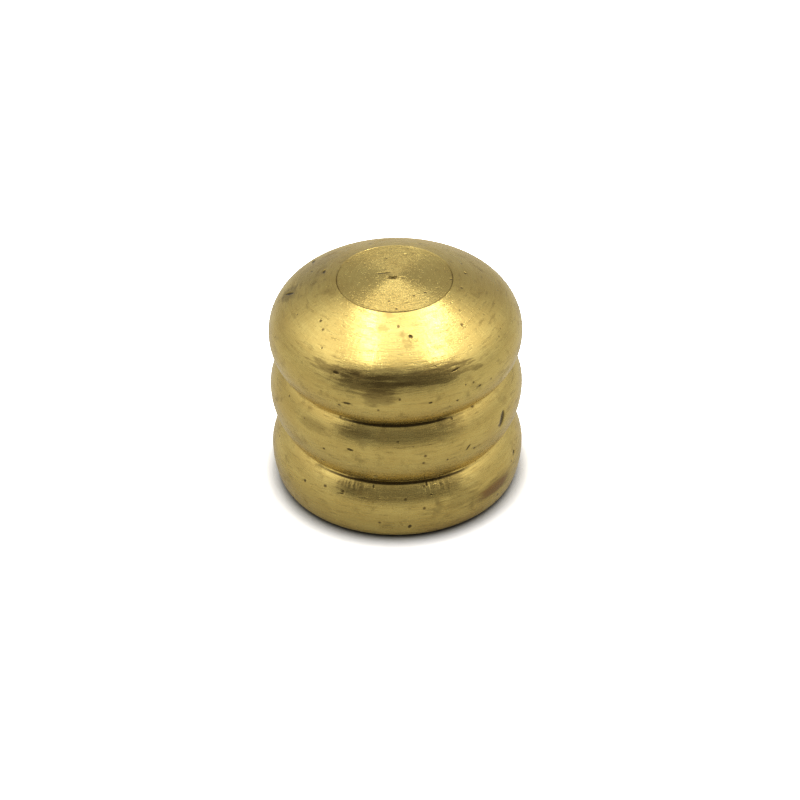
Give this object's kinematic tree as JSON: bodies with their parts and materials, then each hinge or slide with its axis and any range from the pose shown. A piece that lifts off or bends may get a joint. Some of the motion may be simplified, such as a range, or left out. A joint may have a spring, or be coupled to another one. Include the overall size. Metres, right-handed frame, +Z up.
{
  "type": "threaded finial",
  "caption": "Turned brass finial with a domed head over convex rings and a blind tapped hole in its flat foot, for topping a lamp harp or rod.",
  "frame": {"origin": "centre of the flat foot face that it stands on", "axes": "+Z up along the turning axis, from the foot to the tip; X and Y are equal by symmetry"},
  "size_m": [0.025, 0.025, 0.0232],
  "materials": {
    "brass": "turned and lightly brushed, bare, with dull tarnish in the grooves"
  },
  "bodies": {
    "root": {"finial": "brass"}
  },
  "joints": []
}
